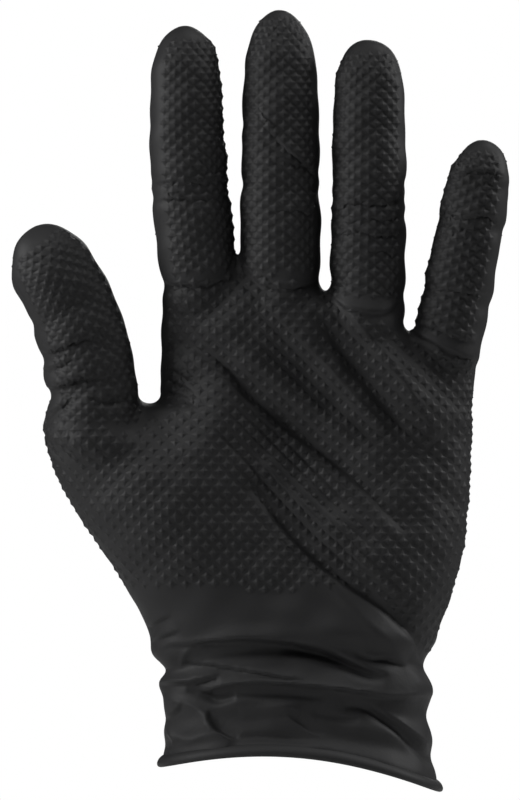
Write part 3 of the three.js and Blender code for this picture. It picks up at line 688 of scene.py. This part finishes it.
def dressed(points, normals):
    # Film points moved outwards: level by the gathers, and along their normals by the ripple, a sum of sines
    # of x, y and z, and on the palm's face alone by the folds
    across, up = handShares(points)
    level = normals * np.array([1, 1, 0])
    level /= np.linalg.norm(level, axis=1, keepdims=True) + 1e-6
    moved = points + level * gatherLift(across, up)[:, None]
    onPalm = gentle(facing["none"], facing["full"], -normals[:, 1])
    lift = sum(foldLift(points, crease) for crease in folds + pleatFolds()) * onPalm
    x, y, z = points.T
    for alongX, alongZ, start in ripple["waves"]:
        lift += ripple["height"] * np.sin(x * alongX + z * alongZ + y * ripple["alongY"] + start)
    return moved + normals * lift[:, None]


outer = fusedHand("glove_film", 0.0, fusing["outerVoxel"], fusing["outerRounds"])
print("outer skin:", len(outer.data.polygons), "faces")
setPoints(outer.data, dressed(pointsOf(outer.data), normalsOf(outer.data)))
inner = fusedHand("inner_wall", form["wall"], fusing["innerVoxel"], fusing["innerRounds"])
setPoints(inner.data, dressed(pointsOf(inner.data), normalsOf(inner.data)))
print("folds laid; inner skin:", len(inner.data.polygons), "faces")


def joinedAtRim(outside, inside):
    # One closed wall: the inner skin turned to face the hollow, and its rim bridged to the outer skin's
    work = bmesh.new()
    work.from_mesh(inside.data)
    bmesh.ops.reverse_faces(work, faces=work.faces[:])
    work.from_mesh(outside.data)
    rims = [edge for edge in work.edges if edge.is_boundary]
    bmesh.ops.bridge_loops(work, edges=rims)
    work.to_mesh(outside.data)
    work.free()
    bpy.data.objects.remove(inside)
    outside.data.polygons.foreach_set("use_smooth", np.ones(len(outside.data.polygons), bool))
    outside.data.update()


film = outer
filmPoints, filmNormals = pointsOf(film.data), normalsOf(film.data)
joinedAtRim(film, inner)

mostTriangles = 180000
thin = film.modifiers.new("thin", "DECIMATE")
thin.ratio = min(1.0, mostTriangles / (2 * len(film.data.polygons)))
finished(film)
print("film:", len(film.data.polygons), "faces")


bead = {"around": 260, "section": 20, "proud": 1.5, "half": 1.8, "tilt": 0.8}


def beadSurface():
    # The rolled edge: an ellipse carried round the opening, sheared so that its outer face looks up a little
    ring = bodySurface(2, bead["around"] // 2 + 1)[0]
    left, right = cuffSides(np.array(form["beadHeight"]))
    share = (ring[:, 0] - left) / (right - left)
    ring[:, 2] = edgeCurve(np.clip(share, 0, 1)) + form["beadHeight"] / 2
    ahead = np.roll(ring, -1, axis=0) - np.roll(ring, 1, axis=0)
    out = np.stack([ahead[:, 1], -ahead[:, 0], ahead[:, 0] * 0], axis=1)
    out /= np.linalg.norm(out, axis=1, keepdims=True)
    turn = 2 * np.pi * np.arange(bead["section"]) / bead["section"]
    across = (np.cos(turn) * bead["proud"] - np.sin(turn) * bead["tilt"])[None, :, None]
    upward = np.sin(turn)[None, :, None] * bead["half"]
    return ring[:, None, :] + out[:, None, :] * across + np.array([0, 0, 1]) * upward


def torusFaces(ringCount, sideCount):
    # Quads of a closed tube whose last ring meets its first
    ring = np.arange(ringCount)[:, None]
    side = np.arange(sideCount)[None, :]
    nextRing, nextSide = (ring + 1) % ringCount, (side + 1) % sideCount
    corners = [ring * sideCount + side, nextRing * sideCount + side, nextRing * sideCount + nextSide,
               ring * sideCount + nextSide]
    return np.stack(np.broadcast_arrays(*corners), axis=-1).reshape(-1, 4)


tube = beadSurface()
beadMesh = meshFrom("rolled_bead", tube.reshape(-1, 3), torusFaces(*tube.shape[:2]), np.zeros((0, 3), int))
beadMesh.polygons.foreach_set("use_smooth", np.ones(len(beadMesh.polygons), bool))
beadPiece = newObject("rolled_bead", beadMesh)


dots = {
    "radius": 1.95, "height": 0.52, "starDepth": 0.5, "sunk": 0.05, "palmPitch": 4.3, "palmRow": 2.16,
    "palmFoot": 24, "palmHeight": 130, "palmColumns": 24, "digitPitch": 3.8, "digitRow": 1.8, "digitFoot": 0.08,
    "digitTop": 1.2, "fieldFloor": 52.5, "heelFloor": 31.0, "stepClear": 1.5, "webClear": 1.0, "offFilm": 1.2,
    "thumbClear": (2, 4), "sideAngle": 62, "apart": 2.3, "drift": 0.5, "driftTurn": (0.07, 0.04),
}
batch = 200  # places that are looked up in the film at a time


def seated(places):
    # Each wanted place goes to the film's nearest point, along that point's normal, and takes its normal
    spots, normals = np.empty_like(places), np.empty_like(places)
    size = (filmPoints ** 2).sum(axis=1)
    for part in np.array_split(np.arange(len(places)), max(1, len(places) // batch)):
        far = size[None, :] - 2 * (places[part] @ filmPoints.T)
        nearest = far.argmin(axis=1)
        normal = filmNormals[nearest]
        gap = ((places[part] - filmPoints[nearest]) * normal).sum(axis=1, keepdims=True)
        spots[part], normals[part] = places[part] - normal * gap, normal
    return spots, normals


def frontDepth(flat, face):
    # Depth of the film at places seen from the front or back, that of the nearest film point on that face, and
    # how far that point is
    squarest = 0.1
    shown = np.flatnonzero(filmNormals[:, 1] * face > squarest)
    points = filmPoints[shown][:, [0, 2]].astype(np.float32)
    size = (points ** 2).sum(axis=1)
    depth, missed = np.empty(len(flat)), np.empty(len(flat))
    for part in np.array_split(np.arange(len(flat)), max(1, len(flat) // batch)):
        here = flat[part].astype(np.float32)
        far = size[None, :] - 2 * (here @ points.T) + (here ** 2).sum(axis=1)[:, None]
        nearest = far.argmin(axis=1)
        depth[part] = filmPoints[shown[nearest], 1]
        missed[part] = np.sqrt(np.maximum(far[np.arange(len(part)), nearest], 0))
    return depth, missed


def palmSides(height):
    # Left and right side of the palm at a height. Above the thumb's web the left is the index finger's side
    up = (height - form["cuffHeight"]) / form["palmLength"]
    rows = bodyRows()[rowCounts["cuff"]:]
    below = rows[:, 6] == 0
    order = rows[below, 5]
    left = np.interp(height, order, rows[below, 0])
    right = np.interp(height, order, rows[below, 1])
    return np.where(up < 1, left, form["indexSide"]), right


def palmDots(face):
    # Staggered rows over the palm's face, evenly spaced along the film from the palm's middle line round to its
    # sides, which the row's own squared half circle gives. The field's edge bounds them below, and the fingers'
    # and thumb's own dots above
    middle = form["indexSide"] + form["palmBreadth"] / 2
    columns = np.arange(-dots["palmColumns"], dots["palmColumns"] + 1)
    share = np.linspace(0, 1, 200)
    power = form["sectionSquareness"]
    deep = form["palmDepth"] / 2 * np.clip(1 - share ** power, 0, 1) ** (1 / power)
    places = []
    for row in range(int(dots["palmHeight"] / dots["palmRow"])):
        height = dots["palmFoot"] + row * dots["palmRow"]
        left, right = palmSides(height)
        steps = (columns + 0.5 * (row % 2)) * dots["palmPitch"]
        x = np.empty_like(steps)
        for side, half in ((steps < 0, middle - left), (steps >= 0, right - middle)):
            arc = np.concatenate([[0], np.cumsum(np.hypot(np.diff(share) * half, np.diff(deep)))])
            x[side] = np.interp(np.abs(steps[side]), arc, share, right=2) * half
        x = middle + np.sign(steps) * x
        places.append(np.stack([x, x * 0 + height], axis=1))
    flat = np.concatenate(places)
    crossTurn, ownTurn = dots["driftTurn"]
    flat = flat + dots["drift"] * np.sin(flat[:, ::-1] * crossTurn + flat * ownTurn)
    across, up = handShares(np.stack([flat[:, 0], flat[:, 0] * 0, flat[:, 1]], axis=1))
    web = form["thumbWeb"] + form["knuckleRise"] * readTable(fingerWebs, "across", "up", across)
    besideThumb, underThumb = dots["thumbClear"]
    onThumb = (flat[:, 0] < form["indexSide"] + besideThumb) & (flat[:, 1] > form["thumbWeb"] - underThumb)
    edgeX = np.interp(-flat[:, 1], -np.asarray(stepEdge["z"]), stepEdge["x"])
    onHeel = (flat[:, 0] > edgeX + dots["stepClear"]) & (face < 0)
    low = np.where(onHeel, dots["heelFloor"], dots["fieldFloor"])
    flat = flat[(flat[:, 1] < web - dots["webClear"]) & ~onThumb & (flat[:, 1] > low)]
    depth, missed = frontDepth(flat, face)
    keep = missed < dots["offFilm"]
    return np.stack([flat[keep, 0], depth[keep], flat[keep, 1]], axis=1)


def digitDots(name, face):
    # Staggered rows up a digit and round to its sides
    digit = digits[name]
    start = dots["digitFoot"]
    stop = 1 - dots["digitTop"] / digit["length"]
    count = int((stop - start) * digit["length"] / dots["digitRow"])
    radius = (digit["breadth"] + digit["depth"]) / 4
    widest = np.radians(dots["sideAngle"])
    turned = np.radians(digit["dotTurn"]) if face < 0 else 0
    half = int(widest * radius / dots["digitPitch"]) + 1
    row, column = np.meshgrid(np.arange(count), np.arange(-half, half + 1), indexing="ij")
    t = start + row * dots["digitRow"] / digit["length"]
    turn = (column + 0.5 * (row % 2)) * dots["digitPitch"] / radius
    inside = np.abs(turn) < widest
    angle = (-np.pi / 2 + turn + turned) if face < 0 else (np.pi / 2 - turn)
    return digitPoints(name, t[inside], angle[inside])


def dotMesh(name, places):
    # Low four-cornered pyramids of three rings, a top and a closed base. Radius: r(a) = R (1 - s sin^2(2a))
    spots, normals = seated(places)
    sides = 8
    ring = np.arange(sides) * 2 * np.pi / sides
    reach = dots["radius"] * (1 - dots["starDepth"] * np.sin(2 * ring) ** 2)
    up = np.broadcast_to(np.array([0.0, 0.0, 1.0]), normals.shape)
    aside = np.cross(up, normals)
    aside /= np.linalg.norm(aside, axis=1, keepdims=True) + 1e-6
    upward = np.cross(normals, aside)
    rings = []
    for share, height in ((1.0, -dots["sunk"]), (0.62, dots["height"] * 0.24), (0.3, dots["height"] * 0.6)):
        around = (aside[:, None] * (np.cos(ring) * reach * share)[None, :, None]
                  + upward[:, None] * (np.sin(ring) * reach * share)[None, :, None])
        rings.append(spots[:, None] + around + normals[:, None] * height)
    top = spots + normals * dots["height"]
    base = spots - normals * dots["sunk"]
    points = np.concatenate([*rings, top[:, None], base[:, None]], axis=1)
    count = points.shape[1]
    first = (np.arange(len(spots)) * count)[:, None]
    here, beside = np.arange(sides)[None, :], (np.arange(sides)[None, :] + 1) % sides
    quads = []
    for low in (0, sides):
        high = low + sides
        corners = [first + here + low, first + beside + low, first + beside + high, first + here + high]
        quads.append(np.stack(corners, axis=-1).reshape(-1, 4))
    last = first + 2 * sides
    cap = np.stack(np.broadcast_arrays(last + here, last + beside, first + count - 2), axis=-1)
    floor = np.stack(np.broadcast_arrays(first + beside, first + here, first + count - 1), axis=-1)
    triangles = np.concatenate([cap.reshape(-1, 3), floor.reshape(-1, 3)])
    mesh = meshFrom(name, points.reshape(-1, 3), np.concatenate(quads), triangles)
    mesh.polygons.foreach_set("use_smooth", np.ones(len(mesh.polygons), bool))
    edges = edgesOf(mesh) % count
    rim = mesh.attributes.new("sharp_edge", "BOOLEAN", "EDGE")
    rim.data.foreach_set("value", (edges < sides).all(axis=1))
    return newObject(name, mesh)


def allDots(face):
    # The digits' dots, and those of the palm that keep clear of them
    onDigits = np.concatenate([digitDots(name, face) for name in digits])
    onPalm = palmDots(face)
    flat, other = onPalm[:, [0, 2]], onDigits[:, [0, 2]]
    far = ((flat[:, None, :] - other[None, :, :]) ** 2).sum(axis=2).min(axis=1)
    return np.concatenate([onPalm[far > dots["apart"] ** 2], onDigits])


palmPlaces = allDots(-1)
backPlaces = allDots(1)
palmPiece = dotMesh("palm_dots", palmPlaces)
backPiece = dotMesh("back_dots", backPlaces)
print("dots:", len(palmPlaces), "on the palm's face and", len(backPlaces), "on the back")


class Wire:
    # A shader socket that can be added, multiplied and so on
    def __init__(self, tree, socket):
        self.tree, self.socket = tree, socket

    def node(self, kind, settings=None, **inputs):
        # Any other node: its type, its settings, then its inputs by name
        made = self.tree.nodes.new(kind)
        for key, value in (settings or {}).items():
            setattr(made, key, value)
        for key, value in inputs.items():
            target = made.inputs[key.replace("_", " ")]
            if isinstance(value, Wire):
                self.tree.links.new(value.socket, target)
            else:
                target.default_value = value
        return made

    def math(self, operation, first, second):
        made = self.tree.nodes.new("ShaderNodeMath")
        made.operation = operation
        for place, value in enumerate((first, second)):
            if isinstance(value, Wire):
                self.tree.links.new(value.socket, made.inputs[place])
            else:
                made.inputs[place].default_value = value
        return Wire(self.tree, made.outputs[0])

    def __add__(self, other):
        return self.math("ADD", self, other)

    __radd__ = __add__

    def __mul__(self, other):
        return self.math("MULTIPLY", self, other)

    __rmul__ = __mul__

    def __sub__(self, other):
        return self.math("SUBTRACT", self, other)

    def __rsub__(self, other):
        return self.math("SUBTRACT", other, self)


nitrile = {
    "tone": 0.021, "blueness": 1.03, "ior": 1.33, "roughness": 0.6, "patchy": 0.08, "patchScale": 60.0,
    "grain": 0.00006, "grainScale": 900.0,
}


def nitrileMaterial():
    # Near-black satin film: patchy roughness, and a fine grain as bump
    material = bpy.data.materials.new("black_nitrile")
    material.use_nodes = True
    tree = material.node_tree
    surface = tree.nodes["Principled BSDF"]
    place = Wire(tree, tree.nodes.new("ShaderNodeTexCoord").outputs["Object"])
    patches = place.node("ShaderNodeTexNoise", Vector=place, Scale=nitrile["patchScale"], Detail=3.0)
    grain = place.node("ShaderNodeTexNoise", Vector=place, Scale=nitrile["grainScale"], Detail=2.0)
    roughness = (Wire(tree, patches.outputs["Fac"]) - 0.5) * nitrile["patchy"] + nitrile["roughness"]
    tree.links.new(roughness.socket, surface.inputs["Roughness"])
    height = Wire(tree, grain.outputs["Fac"])
    bump = place.node("ShaderNodeBump", Height=height, Distance=nitrile["grain"], Strength=1.0)
    tree.links.new(bump.outputs["Normal"], surface.inputs["Normal"])
    tone = nitrile["tone"]
    surface.inputs["Base Color"].default_value = (tone, tone, tone * nitrile["blueness"], 1)
    surface.inputs["IOR"].default_value = nitrile["ior"]
    return material


black = nitrileMaterial()
for piece in (film, beadPiece, palmPiece, backPiece):
    piece.data.materials.clear()
    piece.data.materials.append(black)
    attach(piece, "root")
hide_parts("glove")

# The lights' places are from the middle of the view, in millimetres, and their powers are in watts
studio = {
    "centreX": -11.8, "centreZ": 108.0, "distance": 2600.0, "frameHeight": 236.0, "sensor": 36, "farthest": 20,
    "floor": -30.0, "floorHalf": 350.0, "floorTone": 0.8, "floorRoughness": 0.7,
    "lights": [
        {"name": "left_box", "place": (-330, -110, 120), "size": 150, "power": 0.95},
        {"name": "right_box", "place": (500, 20, 240), "size": 200, "power": 1.5},
        {"name": "top_box", "place": (300, -60, 640), "size": 240, "power": 1.6},
        {"name": "front_top", "place": (-110, -250, 330), "size": 160, "power": 0.34},
        {"name": "back_box", "place": (160, 620, 320), "size": 300, "power": 1.0},
    ],
    "backdrop": 1.0, "surround": 0.02,
}


def makeStudio():
    # Camera square on to the palm, soft area lights, a pale floor below and a white backdrop behind
    scene = bpy.context.scene
    scene.view_settings.view_transform = "Standard"
    aim = Vector((studio["centreX"], 0, studio["centreZ"])) * metre
    camera = bpy.data.cameras.new("camera")
    camera.sensor_fit = "VERTICAL"
    camera.sensor_height = studio["sensor"]
    camera.lens = studio["sensor"] * studio["distance"] / studio["frameHeight"]
    camera.clip_end = studio["farthest"]
    eye = newObject("camera", camera)
    eye.location = aim + Vector((0, -studio["distance"] * metre, 0))
    eye.rotation_euler = (np.pi / 2, 0, 0)
    scene.camera = eye
    for light in studio["lights"]:
        lamp = bpy.data.lights.new(light["name"], "AREA")
        lamp.shape = "DISK"
        lamp.size = light["size"] * metre
        lamp.energy = light["power"]
        holder = newObject(light["name"], lamp)
        holder.location = aim + Vector(light["place"]) * metre
        holder.rotation_euler = (aim - holder.location).to_track_quat("-Z", "Y").to_euler()
    world = bpy.data.worlds.new("studio")
    scene.world = world
    world.use_nodes = True
    tree = world.node_tree
    background = tree.nodes["Background"]
    path = tree.nodes.new("ShaderNodeLightPath")
    seen = Wire(tree, path.outputs["Is Camera Ray"])
    strength = seen * (studio["backdrop"] - studio["surround"]) + studio["surround"]
    tree.links.new(strength.socket, background.inputs["Strength"])
    background.inputs["Color"].default_value = (1, 1, 1, 1)
    half = studio["floorHalf"] * metre
    floorMesh = bpy.data.meshes.new("floor")
    corners = [(-half, -half, 0), (half, -half, 0), (half, half, 0), (-half, half, 0)]
    floorMesh.from_pydata(corners, [], [(0, 1, 2, 3)])
    floor = newObject("floor", floorMesh)
    floor.location = (0, 0, studio["floor"] * metre)
    pale = bpy.data.materials.new("pale_floor")
    pale.use_nodes = True
    surface = pale.node_tree.nodes["Principled BSDF"]
    tone = studio["floorTone"]
    surface.inputs["Base Color"].default_value = (tone, tone, tone, 1)
    surface.inputs["Roughness"].default_value = studio["floorRoughness"]
    floorMesh.materials.append(pale)


makeStudio()
print("studio ready")
